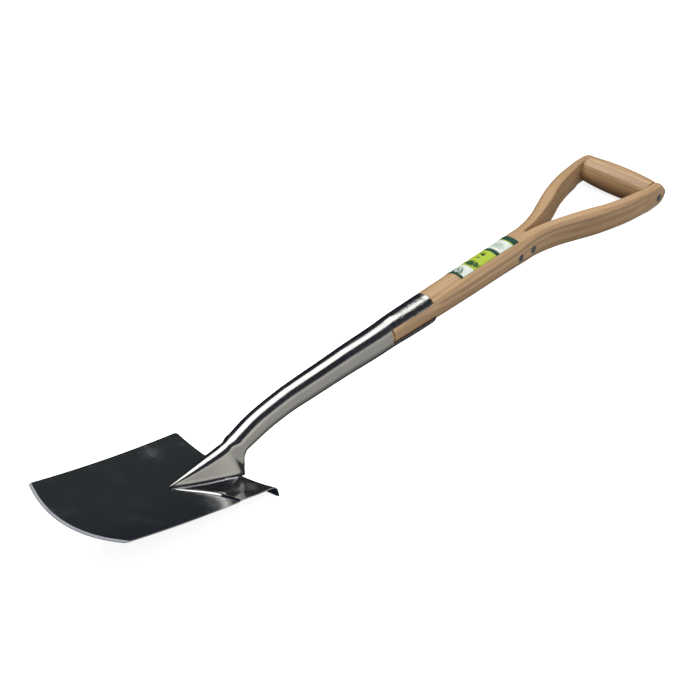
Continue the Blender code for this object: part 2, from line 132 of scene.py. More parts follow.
# Shaft and fork.
SHAFT_START = 0.240
CROTCH = 0.5395
SHAFT_RADIUS = [
    (0.268, 0.0172),
    (0.343, 0.0185),
    (0.385, 0.0190),
    (0.430, 0.0193),
    (0.480, 0.0193),
]
FORK = [
    (0.480, -0.0010, 0.0193, 0.0193, 0.0193),
    (0.505, -0.0010, 0.0190, 0.0192, 0.0178),
    (0.538, -0.0010, 0.0180, 0.0186, 0.0135),
    (0.541, 0.0006, 0.0180, 0.0186, 0.0135),
    (0.560, 0.0030, 0.0195, 0.0183, 0.0120),
    (0.585, 0.0083, 0.0250, 0.0180, 0.0110),
    (0.613, 0.0160, 0.0350, 0.0178, 0.0105),
    (0.641, 0.0255, 0.0453, 0.0177, 0.0100),
    (0.670, 0.0365, 0.0543, 0.0173, 0.0108),
    (0.696, 0.0432, 0.0598, 0.0171, 0.0110),
    (0.718, 0.0470, 0.0622, 0.0169, 0.0110),
    (0.730, 0.0500, 0.0632, 0.0168, 0.0108),
    (0.7486, 0.0500, 0.0636, 0.0166, 0.0106),
]
INNER_CORNER = 0.003
GRIP_S = 0.7486
GRIP_HALF_LENGTH = 0.0497
GRIP_RADIUS = 0.0200
GRIP_END_RADIUS = 0.0172
GRIP_SOFT_EDGE = 0.0008
ARM_END = 0.0200
ARM_END_ROUNDING = 0.0040
PIN_RADIUS = 0.0025
WASHER_RADIUS = 0.0050
WASHER = 0.0010
WASHER_SOFT_EDGE = 0.0002
RIVET_DOME = 0.0006
FORK_RIVETS = {"lower": 0.512, "upper": 0.5385}
FORK_RIVET_H = -0.0010
STRAP_RIVETS = {"lower": 0.288, "upper": 0.326}

# Label.
LABEL_START = 0.402
LABEL_END = 0.516
LABEL_FROM = math.radians(-55)
LABEL_TO = math.radians(29)
LABEL_THICKNESS = 0.0003
LABEL_SOFT = 0.0003

# Where the two arcs of the wood's outline meet outside the recess, and the sides of a foot ring.
RECESS_ANGLE = math.radians(50)
RECESS_STEP = math.radians(3)
RIDGE_STEPS = 12
SIDE_STEPS = 14
BASE_STEPS = 3
HALF_RING = RIDGE_STEPS + SIDE_STEPS + BASE_STEPS

# Plate rows: from, to and pitch, as fractions of the way up, close together at the crease.
PLATE_ROWS = [(0.0, 0.58, 0.012), (0.58, 0.80, 0.003), (0.80, 1.0, 0.010)]
PLATE_COLUMNS = 120
ROLL_ROWS = 18
# How strongly the points on a foot ring's side crowd towards the weld.
CROWDING = 1.6
# Spacing of rings and points, small gaps, and how near two points have to be to count as one.
SLOPE_STEP = 0.001
RING_STEP = 0.004
BORE_STEP = 0.0065
WOOD_STEP = 0.008
SHAFT_STEP = 0.010
FORK_STEP = 0.0045
LABEL_STEP = 0.003
ARM_END_TURNS = (8, 16, 24, 32, 40, 48, 56, 63, 69, 75, 80, 84, 87, 89)
RECESS_RUN = 0.0002
FOOT_GAP = 0.0001
RIVET_GAP = 0.00005
OFF_CENTRE = 0.00005
SEWN = 0.000002
SAME_POINT = 0.0000005
# How far cutters reach past what they cut, and their turn, so that no edge falls on another.
STRAP_SPARE = 0.004
HOLE_SPARE = 0.006
SKIN_REACH = 0.008
MIRROR_SPARE = 0.001
HOLE_TURN = math.radians(3)
# Edges sharper than this show. From ROUND_START on, skin that is this near to the true tube and
# faces nearly the same way gets the tube's own normals.
CREASE_ANGLE = math.radians(22)
SKIN_TOLERANCE = 0.00015
SAME_WAY = 0.9
ROUND_START = 0.050

# Looks: base colours.
BLADE_STEEL = (0.62, 0.625, 0.63)
TUBE_STEEL = (0.62, 0.615, 0.60)
GROUND_STEEL = (0.10, 0.11, 0.14, 1)
# Near-black painted shade for the straps' edges and inner faces.
PAINTED_STRAP_SHADE = (0.055, 0.050, 0.045, 1)
RIVET_DARK = (0.13, 0.15, 0.19, 1)
RIVET_LIGHT = (0.24, 0.26, 0.31, 1)
WOOD_LIGHT = (0.555, 0.358, 0.184, 1)
WOOD_DARK = (0.44, 0.270, 0.134, 1)
WOOD_RING = (0.31, 0.184, 0.090, 1)
WOOD_FIBRE = (0.27, 0.155, 0.076, 1)
WOOD_PORE = (0.20, 0.11, 0.055, 1)
# Colour of the painted shade line along the upper edge of the shaft's near side.
WOOD_SHADE_LINE = (0.20, 0.115, 0.058, 1)
GREEN = (0.009, 0.066, 0.038, 1)
LEAF = (0.020, 0.085, 0.022, 1)
LIME = (0.38, 0.50, 0.035, 1)
PALE = (0.50, 0.58, 0.52, 1)
MIST = (0.30, 0.40, 0.33, 1)
WHITE = (0.64, 0.68, 0.63, 1)
# The label's bands, by where they start and end along the shaft, and its shapes: middle,
# radii, colour, and whether the outline is uneven. They are painted in this order.
LIME_BAND = (0.4265, 0.4715)
LABEL_FOOT = (0.4010, 0.4065)
LABEL_SHAPES = [
    ((-0.004, 0.4115), (0.0068, 0.0072), GREEN, True),
    ((-0.004, 0.4120), (0.0042, 0.0050), PALE, False),
    ((-0.004, 0.4125), (0.0018, 0.0026), GREEN, True),
    ((-0.001, 0.4350), (0.0100, 0.0062), LEAF, True),
    ((-0.003, 0.4505), (0.0022, 0.0020), LEAF, True),
    ((-0.003, 0.4605), (0.0034, 0.0032), LEAF, True),
]
MIDDLE_BAND = (0.4715, 0.4785)
MIST_SHAPE = ((-0.003, 0.4900), (0.0085, 0.0065))
MIST_STRENGTH = 0.7
TOP_BANDS = [((0.5035, 0.5055), LIME), ((0.5055, 0.5170), GREEN)]

# Camera and studio. A lamp's sides are slopes: distance across or along for each metre up.
CAMERA_PLACE = (1.480, -1.7674, 1.6930)
CAMERA_TURN = (54.0185, 0.3816, 40.5153)
CAMERA_LENS = 123.43
LAMPS = [
    ("overhead", 1.75, 3.0, (-1.10, -0.02), (-0.35, 1.10)),
    ("key", 6.0, 2.6, (-0.95, -0.35), (-0.30, -0.08)),
]
LAMP_COLOUR = (1.0, 0.99, 0.97)
FLOOR_SIZE = 14
FLOOR_DROP = 0.0002
FLOOR_GREY = 0.75
FLOOR_GLOW = 0.80


def smooth(knots, s):
    """Values at s on curves through the knots that never overshoot them."""
    places = [knot[0] for knot in knots]
    if s <= places[0]:
        return knots[0][1:]
    if s >= places[-1]:
        return knots[-1][1:]
    i = bisect.bisect_right(places, s) - 1
    span = places[i + 1] - places[i]
    t = (s - places[i]) / span
    values = []
    for k in range(1, len(knots[0])):
        a, b = knots[i][k], knots[i + 1][k]
        m0 = knot_slope(knots, i, k) * span
        m1 = knot_slope(knots, i + 1, k) * span
        rise = t * t * (3 - 2 * t)
        values.append(a + (b - a) * rise + m0 * t * (1 - t) ** 2 - m1 * t * t * (1 - t))
    return tuple(values)


def knot_slope(knots, i, k):
    """Slope at knot i: the harmonic mean of the slopes on its two sides."""

    def secant(j):
        """Slope of the straight line from knot j to the next."""
        return (knots[j + 1][k] - knots[j][k]) / (knots[j + 1][0] - knots[j][0])

    if i == 0:
        return secant(0)
    if i == len(knots) - 1:
        return secant(i - 1)
    before, after = secant(i - 1), secant(i)
    if before * after <= 0:
        return 0.0
    return 2 * before * after / (before + after)


def steps(start, end, count):
    """Evenly spaced values from start to end, both included."""
    return [start + (end - start) * i / count for i in range(count + 1)]


def spaced(start, end, pitch):
    """Evenly spaced values from start to end, at most a pitch apart."""
    return steps(start, end, max(1, math.ceil((end - start) / pitch)))


def ease(t):
    """A soft step from 0 to 1 as t goes from 0 to 1."""
    t = min(1.0, max(0.0, t))
    return t * t * (3 - 2 * t)


def on_shaft(x, s, h):
    """A point given in the shaft's coordinates, in the working frame."""
    y = s * math.cos(SHAFT_ANGLE) - h * math.sin(SHAFT_ANGLE)
    z = SHAFT_RISE + s * math.sin(SHAFT_ANGLE) + h * math.cos(SHAFT_ANGLE)
    return Vector((x, y, z))


def shaft_matrix(s=0.0):
    """The shaft's frame, with its origin at s on the axis."""
    return Matrix.Translation(on_shaft(0, s, 0)) @ Matrix.Rotation(SHAFT_ANGLE, 4, "X")


def base_height(x, y):
    """Height of the blade's front face without its pressed line."""
    across = 1 - (x / BLADE_HALF_WIDTH) ** 2
    middle = (ROLL_START - BLADE_SIDE) / 2
    lengthwise = max(0.0, 1 - ((y - middle) / (ROLL_START - middle)) ** 2)
    return SIDE_HEIGHT - DISH * across - BOW * lengthwise


def face_height(x, y):
    """Height of the blade's front face; a soft step runs out from the foot's tip."""
    line, rise = smooth(CREASE, abs(x))
    rise *= 1.0 if x > 0 else FAR_CREASE
    past = (y - line) / (2 * CREASE_HALF_WIDTH) + 0.5
    level = 1 - ease((y - line - CREASE_HALF_WIDTH) / CREASE_FADE)
    return base_height(x, y) + rise * ease(past) * level


def rest_pose():
    """Rotation and place that lay the spade on its rolled treads and its grip."""
    grip_at = on_shaft(0, GRIP_S, 0)
    lip = Vector((0, ROLL_START + ROLL_RADIUS * math.sin(ROLL_ANGLE) + LIP_REACH, LIP_HEIGHT))
    reach = math.hypot(grip_at.y - lip.y, grip_at.z - lip.z)
    tilt = math.atan2(grip_at.z - lip.z, grip_at.y - lip.y) - math.asin(GRIP_RADIUS / reach)
    lay = Matrix.Rotation(-tilt, 4, "X")
    grip_at = lay @ grip_at
    edge = lay @ Vector((0, -BLADE_SIDE - EDGE_SAGITTA, base_height(0, -BLADE_SIDE) - PLATE))
    middle = (edge.y + grip_at.y + ARM_END) / 2
    return Matrix.Translation((0, -middle, GRIP_RADIUS - grip_at.z)) @ lay


REST = rest_pose()
SHAFT_TO_ROW = REST @ shaft_matrix()


def closed_mesh(name, points, faces, merge=None):
    """A mesh whose faces look outward, with points nearer than merge made one."""
    mesh = bpy.data.meshes.new(name)
    mesh.from_pydata([tuple(p) for p in points], [], faces)
    work = bmesh.new()
    work.from_mesh(mesh)
    if merge:
        bmesh.ops.remove_doubles(work, verts=work.verts, dist=merge)
    bmesh.ops.recalc_face_normals(work, faces=work.faces)
    work.to_mesh(mesh)
    work.free()
    return mesh


def loft_mesh(name, rings):
    """A solid through rings of equally many points, closed at both ends."""
    size = len(rings[0])
    points = [point for ring in rings for point in ring]
    faces = [list(range(size)), list(range(len(points) - size, len(points)))]
    for i in range(len(rings) - 1):
        for j in range(size):
            a = i * size + j
            b = i * size + (j + 1) % size
            faces.append((a, b, b + size, a + size))
    return closed_mesh(name, points, faces)


def sheet_mesh(name, front, back):
    """A closed sheet from the rows of points of its two skins."""
    count, size = len(front), len(front[0])
    points = [point for skin in (front, back) for row in skin for point in row]
    other = count * size
    faces = []
    for i in range(count - 1):
        for j in range(size - 1):
            a = i * size + j
            faces.append((a, a + 1, a + 1 + size, a + size))
            faces.append((other + a, other + a + size, other + a + 1 + size, other + a + 1))
    last = (count - 1) * size
    rim = list(range(size)) + [i * size + size - 1 for i in range(1, count)]
    rim += [last + j for j in range(size - 2, -1, -1)]
    rim += [i * size for i in range(count - 2, 0, -1)]
    for a, b in zip(rim, rim[1:] + rim[:1]):
        faces.append((a, b, b + other, a + other))
    return closed_mesh(name, points, faces)


def piece(name, mesh, matrix=None):
    """An object with its place in its mesh, in the row frame."""
    mesh.transform(REST @ (matrix or Matrix.Identity(4)))
    obj = bpy.data.objects.new(name, mesh)
    bpy.context.scene.collection.objects.link(obj)
    return obj


def turned_mesh(name, profile, segments):
    """A solid turned about Z from a closed loop of (radius, z) points, or one that ends on Z."""
    points = []
    faces = []
    count = len(profile)
    for j in range(segments):
        angle = 2 * math.pi * j / segments
        for r, z in profile:
            points.append((r * math.cos(angle), r * math.sin(angle), z))
    open_ended = profile[0][0] == 0
    for j in range(segments):
        k = (j + 1) % segments
        for i in range(count - 1 if open_ended else count):
            n = (i + 1) % count
            faces.append((j * count + i, k * count + i, k * count + n, j * count + n))
    return closed_mesh(name, points, faces, SAME_POINT)


def cut(obj, cutter, operation="DIFFERENCE"):
    """Take the cutter's shape out of the object, or keep only what it shares, and drop the cutter."""
    modifier = obj.modifiers.new("cut", "BOOLEAN")
    modifier.operation = operation
    modifier.solver = "EXACT"
    modifier.object = cutter
    settle(obj)
    bpy.data.objects.remove(cutter)


def settle(obj):
    """Put what the modifiers make into the mesh."""
    depsgraph = bpy.context.evaluated_depsgraph_get()
    depsgraph.update()
    mesh = bpy.data.meshes.new_from_object(obj.evaluated_get(depsgraph))
    obj.modifiers.clear()
    obj.data = mesh


def finish(obj, material, cad):
    """Smooth shading, material, body and the CAD node that the piece stands for."""
    obj.data.shade_smooth()
    obj.data.set_sharp_from_angle(angle=CREASE_ANGLE)
    obj.data.materials.clear()
    obj.data.materials.append(material)
    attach(obj, "root")
    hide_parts(cad)


def set_grain(obj, place):
    """Store where each point lies in the material's own lengthwise frame."""
    attribute = obj.data.attributes.new("grain", "FLOAT_VECTOR", "POINT")
    for i, vertex in enumerate(obj.data.vertices):
        attribute.data[i].vector = place(vertex.co)


# ---------------------------------------------------------------- shapes

def rolled(p, angle):
    """A point of the treads' roll, which starts at p."""
    return [p[0], p[1] + ROLL_RADIUS * math.sin(angle), p[2] - ROLL_RADIUS * (1 - math.cos(angle))]


def roll_angle(p):
    """How far the roll from p turns: less in the middle, where it would pass through the floor."""
    low, high = 0.0, ROLL_ANGLE
    for _ in range(24):
        middle = (low + high) / 2
        if (REST @ Vector(rolled(p, middle))).z > PLATE + GAP:
            low = middle
        else:
            high = middle
    return high


def plate_point(c, fraction, rise):
    """A point of the front face: c across, from -1 to 1, and a fraction of the way up."""
    edge = -BLADE_SIDE - EDGE_SAGITTA * (1 - c * c) + rise
    y = edge + (ROLL_START - edge) * fraction
    widening = max(0.0, 1 + y / BLADE_SIDE)
    x = c * (BLADE_HALF_WIDTH + (TREAD_HALF_WIDTH - BLADE_HALF_WIDTH) * widening)
    return [x, y, face_height(x, y)]


def plate_rows(columns):
    """Rows of the front face from the cutting edge to the end of the roll."""
    places = [0.0]
    for low, high, pitch in PLATE_ROWS:
        places += spaced(low, high, pitch)[1:]
    rows = [[plate_point(c, 0.0, 0.0) for c in columns]]
    for fraction in places:
        rows.append([plate_point(c, fraction, EDGE_BEVEL) for c in columns])
    start = rows[-1]
    turns = [roll_angle(p) for p in start]
    for part in steps(0, 1, ROLL_ROWS)[1:]:
        rows.append([rolled(p, turn * part) for p, turn in zip(start, turns)])
    return np.array(rows)


def to_floor(skin):
    """The skin with one more row, which carries the lip straight on down to the floor."""
    slope = np.array((0, math.cos(ROLL_ANGLE), -math.sin(ROLL_ANGLE)))
    turn = np.array(REST.to_3x3())
    fall = -(turn @ slope)[2]
    height = (skin[-1] @ turn.T + np.array(REST.translation))[:, 2]
    return np.concatenate([skin, (skin[-1] + np.outer(height / fall, slope))[None]])


def blade_mesh():
    """Front and back skins of the plate, joined round its edge and cut level under the treads."""
    columns = steps(-1, 1, PLATE_COLUMNS)
    front = plate_rows(columns)
    across = np.gradient(front, axis=1)
    along = np.gradient(front, axis=0)
    normal = np.cross(across, along)
    normal /= np.linalg.norm(normal, axis=2, keepdims=True)
    sides = np.array([1 - SIDE_THINNING * ease((abs(c) - THIN_FROM) / (1 - THIN_FROM)) for c in columns])
    back = front - normal * PLATE * sides[None, :, None]
    front[0, :, 2] -= PLATE - EDGE_THICKNESS
    return sheet_mesh("spade_blade", to_floor(front), to_floor(back))


def tent(k, half_width, height, ridge, weld):
    """Half a foot ring: a round ridge, a flat side that flares into the weld, a flat base."""
    centre = height - ridge
    reach = math.hypot(half_width, centre)
    lean = math.atan2(centre, half_width) + math.asin(min(1.0, ridge / reach))
    if k <= RIDGE_STEPS:
        angle = lean * k / RIDGE_STEPS
        return ridge * math.sin(angle), centre + ridge * math.cos(angle)
    if k <= RIDGE_STEPS + SIDE_STEPS:
        t = (k - RIDGE_STEPS) / SIDE_STEPS
        t = 1 - (1 - t) ** CROWDING
        x, z = ridge * math.sin(lean), centre + ridge * math.cos(lean)
        low = z * (1 - t)
        flare = max(0.0, 1 - low / WELD_HEIGHT) ** 2
        return x + (half_width - x) * t + weld * flare, low
    return (half_width + weld) * (HALF_RING - k) / BASE_STEPS, 0.0


def socket_ring(top, bottom, half_width, ridge, roundness):
    """A ring of the foot or tube: an outline between a tent and an ellipse, kept off the blade."""
    height = (top - bottom).length
    up = (top - bottom).normalized()
    weld = WELD * (1 - roundness) * min(1.0, half_width / WELD_FULL_WIDTH)
    half = []
    for k in range(HALF_RING + 1):
        tx, tz = tent(k, half_width, height, ridge, weld)
        angle = math.pi * k / HALF_RING
        rx, rz = half_width * math.sin(angle), height / 2 * (1 + math.cos(angle))
        x = tx + (rx - tx) * roundness
        p = bottom + up * (tz + (rz - tz) * roundness)
        p.x = x
        p.z = max(p.z, face_height(x, p.y) + FOOT_GAP)
        half.append(p)
    return half + [Vector((-p.x, p.y, p.z)) for p in reversed(half[1:-1])]


def tube_slope(s, k):
    """How fast the tube's centre (k = 0) or radius (k = 1) changes at s."""
    return (smooth(TUBE, s + SLOPE_STEP)[k] - smooth(TUBE, s - SLOPE_STEP)[k]) / (2 * SLOPE_STEP)


def tube_ring(s, shrink=0.0):
    """A ring of the tube, square to its own axis."""
    offset, radius = smooth(TUBE, s)
    radius -= shrink
    lean = math.atan(tube_slope(s, 0))
    top = on_shaft(0, s - radius * math.sin(lean), offset + radius * math.cos(lean))
    bottom = on_shaft(0, s + radius * math.sin(lean), offset - radius * math.cos(lean))
    return socket_ring(top, bottom, radius, radius * 0.8, 1.0)


def foot_rings():
    """Rings of the foot and neck, from the tip to where the tube starts."""
    knots = [(i,) + station for i, station in enumerate(FOOT)]
    rings = []
    for u in steps(0, len(FOOT) - 1, 12 * (len(FOOT) - 1)):
        ty, tz, by, bz, half_width, ridge, roundness = smooth(knots, u)
        rings.append(socket_ring(Vector((0, ty, tz)), Vector((0, by, bz)), half_width, ridge, roundness))
    return rings


def notch_side(height):
    """One edge of the notch between the straps: a rounded corner, then straight."""
    side = []
    for angle in steps(math.pi / 2, 0, 10):
        s = NOTCH_START + STRAP_CORNER * (1 - math.sin(angle))
        side.append((s, height - STRAP_CORNER * (1 - math.cos(angle))))
    return side + [(s, height) for s in steps(NOTCH_START + STRAP_CORNER, CUT_END, 13)[1:]]


def notch_rings():
    """The cutter that leaves a front and a back strap."""
    outline = notch_side(NOTCH_TOP) + [(s, -h) for s, h in reversed(notch_side(NOTCH_BOTTOM))]
    middle = [smooth(TUBE, s)[0] for s, _ in outline]
    rings = []
    for end in (-CUT_REACH, CUT_REACH):
        rings.append([on_shaft(end, s, m + h) for (s, h), m in zip(outline, middle)])
    return rings


def front_end_rings():
    """The cutter that ends the front strap with rounded corners."""
    outline = []
    for sign in (1, -1):
        for angle in steps(0, math.pi / 2, 10):
            turn = angle if sign > 0 else math.pi / 2 - angle
            s = STRAP_END - STRAP_CORNER * (1 - math.sin(turn))
            w = sign * (STRAP_HALF_WIDTH + GAP - STRAP_CORNER * (1 - math.cos(turn)))
            outline.append((s, w))
    start = STRAP_END - STRAP_CORNER
    outline += [(start, -CUT_REACH), (CUT_END, -CUT_REACH), (CUT_END, CUT_REACH), (start, CUT_REACH)]
    return [[on_shaft(w, s, h) for s, w in outline] for h in (CUT_SPLIT, CUT_REACH)]


def back_end_rings():
    """The cutter that ends the back strap square."""
    outline = [(STRAP_END, -CUT_REACH), (CUT_END, -CUT_REACH), (CUT_END, CUT_REACH), (STRAP_END, CUT_REACH)]
    return [[on_shaft(w, s, h) for s, w in outline] for h in (-CUT_REACH, CUT_SPLIT)]


def rivet_hole(s):
    """A cutter for the hole of the strap rivet at s."""
    offset, radius = smooth(TUBE, s)
    end, hole = radius + STRAP_SPARE, PIN_RADIUS + RIVET_GAP
    place = shaft_matrix() @ Matrix.Translation((0, s, offset)) @ Matrix.Rotation(HOLE_TURN, 4, "Z")
    mesh = turned_mesh("hole_cutter", [(0, end), (hole, end), (hole, -end), (0, -end)], 48)
    return piece("hole_cutter", mesh, place)


def socket_piece():
    """The tube is bored, notched, cut to length and drilled, then sewn to the neck and foot."""
    skin = [tube_ring(s) for s in spaced(NECK_END, SKIN_END, RING_STEP)]
    obj = piece("spade_socket", loft_mesh("spade_socket", skin))
    bore = [tube_ring(s, WALL) for s in spaced(BORE_START, CUT_END, BORE_STEP)]
    for cutter_rings in (bore, notch_rings(), front_end_rings(), back_end_rings()):
        cut(obj, piece("cutter", loft_mesh("cutter", cutter_rings)))
    for s in STRAP_RIVETS.values():
        cut(obj, rivet_hole(s))
    neck = foot_rings() + [tube_ring(s) for s in spaced(TUBE[0][0], NECK_END, RING_STEP)]
    foot = loft_mesh("foot", neck)
    foot.transform(REST)
    work = bmesh.new()
    work.from_mesh(obj.data)
    work.from_mesh(foot)
    seam = REST @ on_shaft(0, NECK_END, smooth(TUBE, NECK_END)[0])
    caps = []
    for face in work.faces:
        if len(face.verts) == len(neck[0]) and (face.calc_center_median() - seam).length < WALL:
            caps.append(face)
    bmesh.ops.delete(work, geom=caps, context="FACES_ONLY")
    bmesh.ops.remove_doubles(work, verts=work.verts, dist=SEWN)
    work.to_mesh(obj.data)
    work.free()
    return obj


def shaft_section(s):
    """Inner face, outer face, half depth, corner radius and centre offset of the wood at s."""
    if s <= NOTCH_START + STRAP_CORNER:
        offset, tube = smooth(TUBE, s)
        radius = tube - WALL - FIT
        return -MIRROR_SPARE, radius, radius, radius, offset
    if s < FORK[0][0]:
        radius = smooth(SHAFT_RADIUS, s)[0]
        return -MIRROR_SPARE, radius, radius, radius, 0.0
    if s <= GRIP_S:
        return (*smooth(FORK, s), 0.0)
    t = (s - GRIP_S) / ARM_END
    round_end = math.sqrt(max(0.0, 1 - t * t))
    inner, outer, depth, corner = FORK[-1][1:]
    return inner, outer - ARM_END_ROUNDING * (1 - round_end), depth * round_end, corner, 0.0


def shaft_ring(s, recessed=False):
    """Half of the wood's outline at s, closed along its inner face."""
    inner, outer, depth, corner, offset = shaft_section(s)
    soft = min(INNER_CORNER if s > CROTCH else GAP, depth * 0.3)
    corner = min(corner, outer - inner - soft, outer - OFF_CENTRE, depth)
    centre = outer - corner
    ring = []
    for side, notch in ((1, NOTCH_TOP), (-1, NOTCH_BOTTOM)):
        recess, lift, last, first = corner, 0.0, RECESS_ANGLE, RECESS_ANGLE + RECESS_STEP
        if recessed:
            middle, tube = smooth(TUBE, s)
            recess, lift = tube - WALL - FIT, side * middle
            last = math.acos((notch - GAP) / recess)
            first = math.acos((notch - GAP + lift) / corner)
        half, base = [], depth - corner
        for angle in steps(0, last, 10):
            half.append((centre + recess * math.sin(angle), base + lift + recess * math.cos(angle)))
        for angle in steps(first, math.pi / 2, 10):
            half.append((centre + corner * math.sin(angle), base + corner * math.cos(angle)))
        top = half[0][1]
        edge = []
        for angle in steps(0, math.pi / 2, 6):
            edge.append((inner + soft * (1 - math.cos(angle)), top - soft * (1 - math.sin(angle))))
        points = [on_shaft(x, s, offset + side * h) for x, h in edge + half]
        ring += points if side > 0 else points[::-1]
    ring.append(on_shaft(inner, s, offset))
    return ring


def shaft_piece():
    """Half of the wood is lofted, with the straps' recess, and mirrored across its middle plane."""
    cheek, shoulder = NOTCH_START + STRAP_CORNER, STRAP_END + GAP
    rings = [shaft_ring(s) for s in spaced(SHAFT_START, cheek, WOOD_STEP)]
    rings.append(shaft_ring(cheek + GAP - RECESS_RUN, True))
    rings += [shaft_ring(s, True) for s in spaced(cheek + GAP, shoulder, WOOD_STEP)]
    rings += [shaft_ring(s) for s in spaced(shoulder + RECESS_RUN, FORK[0][0], SHAFT_STEP)]
    for knot, following in zip(FORK, FORK[1:]):
        rings += [shaft_ring(s) for s in spaced(knot[0], following[0], FORK_STEP)[1:]]
    for angle in ARM_END_TURNS:
        rings.append(shaft_ring(GRIP_S + ARM_END * math.sin(math.radians(angle))))
    obj = piece("spade_shaft", loft_mesh("spade_shaft", rings))
    mirror = obj.modifiers.new("halves", "MIRROR")
    mirror.use_axis = (True, False, False)
    mirror.use_bisect_axis = (True, False, False)
    mirror.bisect_threshold = 0.00001
    mirror.merge_threshold = 0.00001
    settle(obj)
    return obj


def arm_shift(s):
    """How far the middle of an arm has moved out from where it was sawn."""
    if s <= CROTCH:
        return 0.0
    inner, outer = smooth(FORK, min(s, GRIP_S))[:2]
    sawn = (smooth(FORK, CROTCH)[1] + GAP) / 2
    return (inner + outer) / 2 - sawn


def shaft_grain(p):
    """Across, along and through the wood as it was before the arms were bent apart."""
    q = SHAFT_TO_ROW.inverted() @ p
    return q.x - math.copysign(arm_shift(q.y), q.x), q.y, q.z


def grip_grain(p):
    """Through, along and across the crossbar."""
    q = SHAFT_TO_ROW.inverted() @ p
    return q.z, q.x, q.y - GRIP_S


def tube_grain(p):
    """Across, along and through the tube, from its own axis."""
    q = SHAFT_TO_ROW.inverted() @ p
    return q.x, q.y, q.z - smooth(TUBE, q.y)[0]


def set_painted_strap_shade(obj):
    """Mark the straps' edges and inner faces, which get painted shade."""
    attribute = obj.data.attributes.new("sawn", "FLOAT", "FACE")
    to_shaft = SHAFT_TO_ROW.inverted()
    for face in obj.data.polygons:
        q = to_shaft @ face.center
        if q.y > NOTCH_START - GAP:
            offset, radius = smooth(TUBE, q.y)
            inside = math.hypot(q.x, q.z - offset) < radius - GAP
            attribute.data[face.index].value = float(inside)


def blade_grain(p):
    """Across, along and through the blade."""
    return REST.inverted() @ p


def grip_piece():
    """Turned crossbar with softly broken ends and a hole for the pin."""
    hole = PIN_RADIUS + GAP
    soft = GRIP_SOFT_EDGE
    profile = [(hole, -GRIP_HALF_LENGTH), (hole, GRIP_HALF_LENGTH),
               (GRIP_END_RADIUS - soft, GRIP_HALF_LENGTH)]
    for z in steps(GRIP_HALF_LENGTH, -GRIP_HALF_LENGTH, 40):
        bulge = 1 - (z / GRIP_HALF_LENGTH) ** 2
        edge = max(0.0, abs(z) - GRIP_HALF_LENGTH + soft)
        profile.append((GRIP_END_RADIUS + (GRIP_RADIUS - GRIP_END_RADIUS) * bulge - edge * 0.6, z))
    profile.append((GRIP_END_RADIUS - soft, -GRIP_HALF_LENGTH))
    matrix = shaft_matrix(GRIP_S) @ Matrix.Rotation(math.pi / 2, 4, "Y")
    return piece("spade_grip", turned_mesh("spade_grip", profile, 96), matrix)


def pin_profile(half_length, radius):
    """Half outline of a pin with two domed heads."""
    shoulder = half_length - RIVET_DOME
    top = []
    for t in steps(0, 1, 6):
        top.append((radius * t, shoulder + RIVET_DOME * math.sqrt(max(0.0, 1 - t * t * 0.9))))
    top[0] = (0.0, half_length)
    return top + [(r, -z) for r, z in reversed(top)]


def washer_profile(low, high):
    """Half outline of a washer whose outer edges are broken."""
    hole, soft = PIN_RADIUS + GAP, WASHER_SOFT_EDGE
    return [(hole, low), (hole, high - soft), (hole + soft, high), (WASHER_RADIUS - soft, high),
            (WASHER_RADIUS, high - soft), (WASHER_RADIUS, low)]


def cross_pin(name, washers, s, h, wood, steel):
    """A pin across x at s and h, its washers let into the wood, and the holes they need."""
    place = shaft_matrix() @ Matrix.Translation((0, s, h)) @ Matrix.Rotation(math.pi / 2, 4, "Y")
    face = shaft_section(s)[1]
    seat = face - WASHER - GAP
    pin = piece(name + "_fine", turned_mesh(name, pin_profile(face + RIVET_DOME, PIN_RADIUS), 40), place)
    finish(pin, steel, name)
    for side, end in ((-1, "left"), (1, "right")):
        profile = washer_profile(seat + GAP, seat + GAP + WASHER)
        if side < 0:
            profile = [(r, -z) for r, z in profile]
        washer = piece(washers + end + "_fine", turned_mesh(washers + end, profile, 48), place)
        finish(washer, steel, washers + end)
    clear, hole, end = WASHER_RADIUS + GAP / 2, PIN_RADIUS + GAP, face + HOLE_SPARE
    profile = [(0, end), (clear, end), (clear, seat), (hole, seat),
               (hole, -seat), (clear, -seat), (clear, -end), (0, -end)]
    turned = place @ Matrix.Rotation(HOLE_TURN, 4, "Z")
    cut(wood, piece("hole_cutter", turned_mesh("hole_cutter", profile, 48), turned))


def strap_rivet(name, s, wood, steel):
    """A rivet through both straps and the wood, its heads ground to the straps' curve."""
    offset, radius = smooth(TUBE, s)
    place = shaft_matrix() @ Matrix.Translation((0, s, offset))
    end = radius + STRAP_SPARE
    profile = [(0, end), (PIN_RADIUS, end), (PIN_RADIUS, -end), (0, -end)]
    rivet = piece(name + "_fine", turned_mesh(name, profile, 40), place)
    skin = [tube_ring(t) for t in spaced(s - SKIN_REACH, s + SKIN_REACH, RING_STEP / 2)]
    cut(rivet, piece("skin_cutter", loft_mesh("skin_cutter", skin)), "INTERSECT")
    set_grain(rivet, tube_grain)
    finish(rivet, steel, name)
    round_normals(rivet)
    cut(wood, rivet_hole(s))


def label_piece():
    """Thin sheet wrapped round the front of the shaft; its UVs are metres round and along."""
    skins, places = [], []
    for lift in (LABEL_THICKNESS, 0.0):
        rows = []
        for s in spaced(LABEL_START, LABEL_END, LABEL_STEP):
            _, outer, depth, corner, offset = shaft_section(s)
            row = []
            for angle in steps(LABEL_FROM, LABEL_TO, 40):
                side = math.copysign(outer - corner, angle)
                reach = corner + GAP + lift
                height = offset + depth - corner + reach * math.cos(angle)
                row.append(on_shaft(side + reach * math.sin(angle), s, height))
                places.append((angle * corner + side, s))
            rows.append(row)
        skins.append(rows)
    mesh = sheet_mesh("spade_label", *skins)
    layer = mesh.uv_layers.new(name="UVMap")
    for loop in mesh.loops:
        layer.data[loop.index].uv = places[loop.vertex_index]
    return piece("spade_label", mesh)


